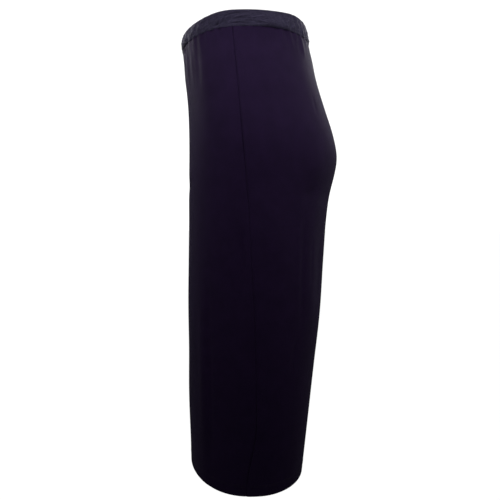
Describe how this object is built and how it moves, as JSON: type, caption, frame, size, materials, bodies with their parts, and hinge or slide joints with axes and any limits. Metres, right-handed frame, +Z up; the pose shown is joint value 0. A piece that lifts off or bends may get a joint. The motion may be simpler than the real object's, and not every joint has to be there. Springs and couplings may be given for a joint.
{
  "type": "pencil skirt",
  "caption": "Long pencil skirt in stretch jersey, in its worn hollow form, with two panels joined at the side seams under a gathered elastic waistband.",
  "frame": {"origin": "centre of the waist, level with the waistband's top edge at the two sides", "axes": "+Z up along the wearer's body; -Y is the wearer's front, +Y the seat; +X is the wearer's left side, -X the right"},
  "size_m": [0.39, 0.2937, 0.8356],
  "materials": {
    "waistband_jersey": "matt jersey knit, gathered over elastic",
    "panel_jersey": "matt jersey knit with a faint sheen"
  },
  "bodies": {
    "root": {"waistband": "waistband_jersey", "front_panel": "panel_jersey", "back_panel": "panel_jersey"}
  },
  "joints": []
}
